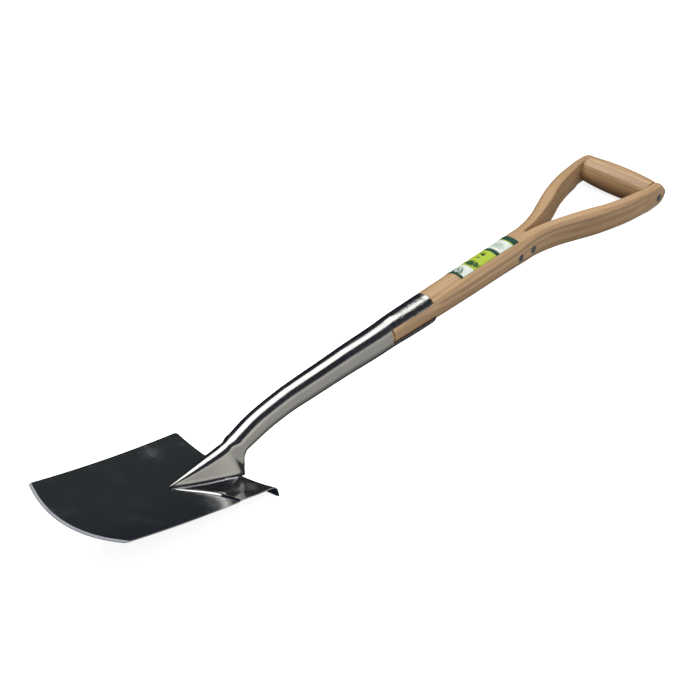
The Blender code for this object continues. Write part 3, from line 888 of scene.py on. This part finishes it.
def round_normals(obj):
    """Give the outer skin of the tube the normals of a true tube, cut or not."""
    mesh = obj.data
    to_shaft = SHAFT_TO_ROW.inverted()
    normals = []
    for polygon in mesh.polygons:
        for index in polygon.vertices:
            q = to_shaft @ mesh.vertices[index].co
            offset, radius = smooth(TUBE, q.y)
            out = Vector((q.x, 0.0, q.z - offset))
            true = q.y > ROUND_START and abs(out.length - radius) < SKIN_TOLERANCE
            out.normalize()
            out.y = -out.z * tube_slope(q.y, 0) - tube_slope(q.y, 1)
            way = (SHAFT_TO_ROW.to_3x3() @ out).normalized()
            normals.append(way if true and way.dot(polygon.normal) > SAME_WAY else (0, 0, 0))
    mesh.normals_split_custom_set(normals)


# ---------------------------------------------------------------- materials

def new_material(name):
    """A material, its node tree and its Principled shader."""
    material = bpy.data.materials.new(name)
    material.use_nodes = True
    return material, material.node_tree, material.node_tree.nodes["Principled BSDF"]


def node(tree, kind, settings=None, **inputs):
    """A node with its settings, and its inputs set or linked by name."""
    made = tree.nodes.new(kind)
    for key, value in (settings or {}).items():
        setattr(made, key, value)
    for key, value in inputs.items():
        wire(tree, made, key.replace("_", " "), value)
    return made


def wire(tree, made, key, value):
    """Link or set an input, found by its name or, as i0, i1 and so on, by its number."""
    socket = made.inputs[int(key[1:])] if key[0] == "i" and key[1:].isdigit() else made.inputs[key]
    if isinstance(value, bpy.types.NodeSocket):
        tree.links.new(value, socket)
    else:
        socket.default_value = value


def grain_noise(tree, scale, detail=3.0, roughness=0.5, offset=(0, 0, 0)):
    """Noise on the stored grain place, stretched by a scale along each of its axes."""
    place = node(tree, "ShaderNodeAttribute", {"attribute_name": "grain"})
    mapping = node(tree, "ShaderNodeMapping", Vector=place.outputs["Vector"], Scale=scale, Location=offset)
    return node(tree, "ShaderNodeTexNoise", Vector=mapping.outputs["Vector"], Scale=1.0,
                Detail=detail, Roughness=roughness).outputs["Fac"]


def remap(tree, value, low, high, to_low=0.0, to_high=1.0):
    """A soft step between two values."""
    return node(tree, "ShaderNodeMapRange", {"interpolation_type": "SMOOTHSTEP"}, Value=value,
                From_Min=low, From_Max=high, To_Min=to_low, To_Max=to_high).outputs["Result"]


def math_node(tree, operation, a, b=0.0):
    """One sum on two values."""
    return node(tree, "ShaderNodeMath", {"operation": operation}, i0=a, i1=b).outputs["Value"]


def mix(tree, factor, a, b):
    """A colour between two others."""
    made = node(tree, "ShaderNodeMix", {"data_type": "RGBA"})
    wire(tree, made, "i0", factor)
    wire(tree, made, "i6", a)
    wire(tree, made, "i7", b)
    return made.outputs[2]


def bump(tree, height, distance, strength=1.0, normal=None):
    """A normal bent by a height, on top of another one if given."""
    made = node(tree, "ShaderNodeBump", Height=height, Distance=distance, Strength=strength)
    if normal:
        wire(tree, made, "Normal", normal)
    return made.outputs["Normal"]


def painted_shade_line(tree, place, broad):
    """Where the painted shade line runs: along one side of the shaft and out along that arm."""
    axes = node(tree, "ShaderNodeSeparateXYZ", Vector=place.outputs["Vector"])
    x, s, h = axes.outputs["X"], axes.outputs["Y"], axes.outputs["Z"]
    climb = remap(tree, s, 0.48, 0.58, 0.0, 0.0042)
    height = math_node(tree, "SUBTRACT", math_node(tree, "SUBTRACT", h, 0.0075), climb)
    wander = math_node(tree, "MULTIPLY", math_node(tree, "SUBTRACT", broad, 0.5), 0.004)
    away = math_node(tree, "ABSOLUTE", math_node(tree, "ADD", height, wander))
    band = remap(tree, away, 0.0004, 0.0030, 1.0, 0.0)
    band = math_node(tree, "MULTIPLY", band, remap(tree, x, 0.004, 0.009))
    band = math_node(tree, "MULTIPLY", band, remap(tree, s, 0.345, 0.36, 0.0, 0.62))
    return math_node(tree, "MULTIPLY", band, remap(tree, s, 0.70, 0.76, 1.0, 0.2))


def wood_material(name, streaks_and_shade_line):
    """Lacquered ash: long pores, soft rings, and one dark line of painted shade along an edge."""
    material, tree, shader = new_material(name)
    broad = grain_noise(tree, (110, 4.5, 110), 3.0, 0.55)
    fibre = grain_noise(tree, (900, 16, 900), 3.0, 0.6)
    pores = grain_noise(tree, (1500, 60, 1500), 2.0, 0.5, (3, 1, 2))
    place = node(tree, "ShaderNodeAttribute", {"attribute_name": "grain"})
    bend = node(tree, "ShaderNodeMapping", Vector=place.outputs["Vector"],
                Scale=(84, 1.6, 62), Rotation=(0, math.radians(28), 0))
    rings = node(tree, "ShaderNodeTexWave", {"bands_direction": "X", "wave_profile": "SIN"},
                 Vector=bend.outputs["Vector"], Scale=1.0, Distortion=2.2, Detail=2.0,
                 Detail_Scale=0.8).outputs["Fac"]
    tone = mix(tree, remap(tree, broad, 0.32, 0.68), WOOD_LIGHT, WOOD_DARK)
    tone = mix(tree, remap(tree, rings, 0.45, 1.0, 0.0, 0.46), tone, WOOD_RING)
    tone = mix(tree, remap(tree, fibre, 0.45, 0.75, 0.0, 0.40), tone, WOOD_FIBRE)
    dark = remap(tree, pores, 0.62, 0.72)
    tone = mix(tree, math_node(tree, "MULTIPLY", dark, 0.45), tone, WOOD_PORE)
    # The flag adds the painted shade line along the shaft's edge.
    if streaks_and_shade_line:
        tone = mix(tree, painted_shade_line(tree, place, broad), tone, WOOD_SHADE_LINE)
    wire(tree, shader, "Base Color", tone)
    wire(tree, shader, "Roughness", remap(tree, fibre, 0.3, 0.7, 0.34, 0.50))
    shader.inputs["Coat Weight"].default_value = 0.35
    shader.inputs["Coat Roughness"].default_value = 0.20
    height = math_node(tree, "SUBTRACT", fibre, math_node(tree, "MULTIPLY", dark, 0.8))
    wire(tree, shader, "Normal", bump(tree, height, 0.00012, 0.6))
    return material


def ground_bevel(tree, axes, tint, rough, normal):
    """The plate's cutting bevel, ground darker and duller."""
    across = math_node(tree, "DIVIDE", axes.outputs["X"], BLADE_HALF_WIDTH)
    sag = math_node(tree, "MULTIPLY", math_node(tree, "MULTIPLY", across, across), EDGE_SAGITTA)
    depth = math_node(tree, "SUBTRACT", axes.outputs["Y"], sag)
    top = EDGE_BEVEL - BLADE_SIDE - EDGE_SAGITTA
    bevel = remap(tree, depth, top - 0.0002, top + 0.0001, 1.0, 0.0)
    tint = mix(tree, math_node(tree, "MULTIPLY", bevel, 0.75), tint, GROUND_STEEL)
    rough = math_node(tree, "ADD", rough, math_node(tree, "MULTIPLY", bevel, 0.30))
    return tint, rough, normal


def dented_straps(tree, axes, tint, rough, normal):
    """The straps, uneven from riveting, with painted shade on their edges and inner faces, which are also
    rougher.
    """
    dents = grain_noise(tree, (330, 120, 330), 3.0, 0.6, (2, 7, 4))
    dents = math_node(tree, "MULTIPLY", dents, remap(tree, axes.outputs["Y"], 0.262, 0.290))
    normal = bump(tree, dents, 0.00045, 0.8, normal)
    # The sawn attribute marks the straps' edges and inner faces: they get a near-black painted shade and
    # more roughness.
    sawn = node(tree, "ShaderNodeAttribute", {"attribute_name": "sawn"}).outputs["Fac"]
    tint = mix(tree, sawn, tint, PAINTED_STRAP_SHADE)
    rough = math_node(tree, "ADD", rough, math_node(tree, "MULTIPLY", sawn, 0.35))
    return tint, rough, normal


def steel_material(name, colour, roughness, streaks_and_shade_line, wave, details):
    """Polished stainless steel: brushed lengthwise, a little uneven, with faint smudges."""
    material, tree, shader = new_material(name)
    low, high = roughness
    # For steel this argument only gives the stretch of the brushing streaks; no shade is painted.
    brushed = grain_noise(tree, streaks_and_shade_line, 3.0, 0.6)
    smudge = grain_noise(tree, (26, 26, 26), 5.0, 0.62, (5, 2, 1))
    uneven = grain_noise(tree, (55, 38, 55), 2.0, 0.5)
    rubbed = remap(tree, smudge, 0.50, 0.72)
    red, green, blue = colour
    tint = mix(tree, rubbed, (*colour, 1), (red * 0.90, green * 0.94, blue, 1))
    worn = (red * 0.72, green * 0.72, blue * 0.72, 1)
    tint = mix(tree, remap(tree, brushed, 0.3, 0.7, 0.0, 0.22), tint, worn)
    rough = remap(tree, brushed, 0.3, 0.7, low, low + 0.05)
    rough = math_node(tree, "ADD", rough, math_node(tree, "MULTIPLY", rubbed, high - low))
    place = node(tree, "ShaderNodeAttribute", {"attribute_name": "grain"})
    axes = node(tree, "ShaderNodeSeparateXYZ", Vector=place.outputs["Vector"])
    tint, rough, normal = details(tree, axes, tint, rough, bump(tree, uneven, wave, 0.5))
    wire(tree, shader, "Base Color", tint)
    shader.inputs["Metallic"].default_value = 1.0
    wire(tree, shader, "Roughness", rough)
    wire(tree, shader, "Normal", bump(tree, brushed, 0.00002, 0.35, normal))
    return material


def rivet_material():
    """Dull ground steel, slightly scratched."""
    material, tree, shader = new_material("rivet_steel_look")
    place = node(tree, "ShaderNodeTexCoord").outputs["Object"]
    worn = node(tree, "ShaderNodeTexNoise", Vector=place, Scale=900.0, Detail=4.0).outputs["Fac"]
    wire(tree, shader, "Base Color", mix(tree, worn, RIVET_DARK, RIVET_LIGHT))
    shader.inputs["Metallic"].default_value = 1.0
    wire(tree, shader, "Roughness", remap(tree, worn, 0.3, 0.7, 0.28, 0.48))
    wire(tree, shader, "Normal", bump(tree, worn, 0.00003, 0.4))
    return material


def between(tree, value, low, high):
    """1 between low and high, 0 outside."""
    up = remap(tree, value, low - LABEL_SOFT, low + LABEL_SOFT)
    down = remap(tree, value, high - LABEL_SOFT, high + LABEL_SOFT, 1.0, 0.0)
    return math_node(tree, "MULTIPLY", up, down)


def disc(tree, u, v, centre, radii, wobble=None):
    """1 inside an ellipse, whose outline wobbles if asked."""
    du = math_node(tree, "DIVIDE", math_node(tree, "SUBTRACT", u, centre[0]), radii[0])
    dv = math_node(tree, "DIVIDE", math_node(tree, "SUBTRACT", v, centre[1]), radii[1])
    away = math_node(tree, "ADD", math_node(tree, "MULTIPLY", du, du), math_node(tree, "MULTIPLY", dv, dv))
    if wobble is not None:
        away = math_node(tree, "ADD", away, wobble)
    return remap(tree, away, 0.85, 1.15, 1.0, 0.0)


def label_material():
    """Plain printed wrap: green, white and lime bands with simple leaf and disc shapes."""
    material, tree, shader = new_material("label_look")
    uv = node(tree, "ShaderNodeUVMap", {"uv_map": "UVMap"}).outputs["UV"]
    axes = node(tree, "ShaderNodeSeparateXYZ", Vector=uv)
    u, v = axes.outputs["X"], axes.outputs["Y"]
    scaled = node(tree, "ShaderNodeTexNoise", Vector=uv, Scale=420.0, Detail=4.0).outputs["Fac"]
    wobble = remap(tree, scaled, 0.3, 0.7, -0.9, 0.9)
    tone = mix(tree, between(tree, v, *LIME_BAND), WHITE, LIME)
    tone = mix(tree, between(tree, v, *LABEL_FOOT), tone, GREEN)
    for centre, radii, colour, uneven in LABEL_SHAPES:
        tone = mix(tree, disc(tree, u, v, centre, radii, wobble if uneven else None), tone, colour)
    tone = mix(tree, between(tree, v, *MIDDLE_BAND), tone, GREEN)
    mist = math_node(tree, "MULTIPLY", disc(tree, u, v, *MIST_SHAPE, wobble), MIST_STRENGTH)
    tone = mix(tree, mist, tone, MIST)
    for band, colour in TOP_BANDS:
        tone = mix(tree, between(tree, v, *band), tone, colour)
    wire(tree, shader, "Base Color", tone)
    wire(tree, shader, "Roughness", remap(tree, scaled, 0.3, 0.7, 0.48, 0.58))
    shader.inputs["Specular IOR Level"].default_value = 0.3
    wire(tree, shader, "Normal", bump(tree, scaled, 0.00003, 0.3))
    return material


# ---------------------------------------------------------------- studio

def lamp(name, radiance, height, across, along):
    """A rectangle overhead that gives off one radiance; its sides are slopes seen from the spade."""
    left, right = across
    near, far = along
    light = bpy.data.lights.new(name, "AREA")
    light.shape = "RECTANGLE"
    light.size = (right - left) * height
    light.size_y = (far - near) * height
    light.energy = radiance * math.pi * light.size * light.size_y
    light.color = LAMP_COLOUR
    obj = bpy.data.objects.new(name, light)
    obj.location = ((left + right) / 2 * height, (near + far) / 2 * height, height)
    obj.visible_camera = False
    bpy.context.scene.collection.objects.link(obj)


def towards(tree, axes, direction):
    """How far the direction that the axes hold points along another."""
    total = 0.0
    for axis, part in zip("XYZ", direction):
        total = math_node(tree, "ADD", total, math_node(tree, "MULTIPLY", axes.outputs[axis], part))
    return total


def surround(tree):
    """What the world shows: white to the camera, dark and grey to steel, a soft slope to the rest."""
    way = node(tree, "ShaderNodeTexCoord").outputs["Generated"]
    axes = node(tree, "ShaderNodeSeparateXYZ", Vector=way)
    far = remap(tree, axes.outputs["Y"], 0.62, 0.80)
    dark = mix(tree, far, (0.011, 0.014, 0.024, 1), (0.030, 0.036, 0.038, 1))
    high = remap(tree, axes.outputs["Z"], 0.15, 0.60)
    grey = mix(tree, high, (0.42, 0.41, 0.385, 1), (0.72, 0.70, 0.64, 1))
    grey = mix(tree, remap(tree, axes.outputs["Z"], -0.75, -0.45), (0.20, 0.195, 0.185, 1), grey)
    near = remap(tree, towards(tree, axes, (0.934, 0.0, -0.358)), 0.30, 0.50)
    steel = mix(tree, near, dark, grey)
    slope = remap(tree, towards(tree, axes, (0.42, 0.60, 0.68)), -0.42, 0.82, 0.08, 1.10)
    soft = node(tree, "ShaderNodeCombineColor", i0=slope, i1=slope, i2=slope).outputs["Color"]
    path = node(tree, "ShaderNodeLightPath")
    tone = mix(tree, path.outputs["Is Glossy Ray"], soft, steel)
    return mix(tree, path.outputs["Is Camera Ray"], tone, (1.0, 1.0, 1.0, 1))


def studio():
    """White floor, a large soft light and a small bright one overhead, and a surround."""
    scene = bpy.context.scene
    scene.view_settings.view_transform = "Standard"
    bpy.ops.mesh.primitive_plane_add(size=FLOOR_SIZE)
    floor = bpy.context.object
    floor.name = "studio_floor"
    floor.location.z = -FLOOR_DROP
    material, _, shader = new_material("studio_floor_white")
    shader.inputs["Base Color"].default_value = (FLOOR_GREY, FLOOR_GREY, FLOOR_GREY, 1)
    shader.inputs["Roughness"].default_value = 0.9
    shader.inputs["Specular IOR Level"].default_value = 0.0
    shader.inputs["Emission Color"].default_value = (1, 1, 1, 1)
    shader.inputs["Emission Strength"].default_value = FLOOR_GLOW
    floor.data.materials.append(material)
    floor.visible_glossy = False
    floor.visible_diffuse = False
    for name, radiance, height, across, along in LAMPS:
        lamp(name, radiance, height, across, along)
    world = bpy.data.worlds.new("studio")
    scene.world = world
    world.use_nodes = True
    wire(world.node_tree, world.node_tree.nodes["Background"], "Color", surround(world.node_tree))


def camera():
    """A long lens in front of the spade's near side, looking down on it."""
    lens = bpy.data.cameras.new("camera")
    lens.sensor_width = 36.0
    lens.lens = CAMERA_LENS
    lens.clip_start = 0.05
    lens.clip_end = 50.0
    obj = bpy.data.objects.new("camera", lens)
    obj.location = CAMERA_PLACE
    obj.rotation_euler = [math.radians(angle) for angle in CAMERA_TURN]
    bpy.context.scene.collection.objects.link(obj)
    bpy.context.scene.camera = obj


def build():
    """Every piece, in the place of its CAD node."""
    blade_steel = steel_material("blade_steel_look", BLADE_STEEL, (0.07, 0.17), (700, 30, 700),
                                 0.00006, ground_bevel)
    tube_steel = steel_material("tube_steel_look", TUBE_STEEL, (0.12, 0.18), (1400, 9, 1400),
                                0.00008, dented_straps)
    rivet_steel = rivet_material()
    # True gives the shaft the painted shade line.
    shaft_wood = wood_material("shaft_ash_look", True)
    grip_wood = wood_material("grip_ash_look", False)

    blade = piece("spade_blade", blade_mesh())
    set_grain(blade, blade_grain)
    finish(blade, blade_steel, "blade")

    socket = socket_piece()
    wood = shaft_piece()
    cross_pin("grip_pin", "grip_washer_", GRIP_S, 0.0, wood, rivet_steel)
    for end, s in FORK_RIVETS.items():
        cross_pin("fork_rivet_" + end, "fork_washer_" + end + "_", s, FORK_RIVET_H, wood, rivet_steel)
    for end, s in STRAP_RIVETS.items():
        strap_rivet("strap_rivet_" + end, s, wood, tube_steel)
    set_grain(socket, tube_grain)
    set_painted_strap_shade(socket)
    finish(socket, tube_steel, "socket")
    round_normals(socket)
    set_grain(wood, shaft_grain)
    finish(wood, shaft_wood, "shaft")

    grip = grip_piece()
    set_grain(grip, grip_grain)
    finish(grip, grip_wood, "grip")
    finish(label_piece(), label_material(), "label")


build()
studio()
camera()
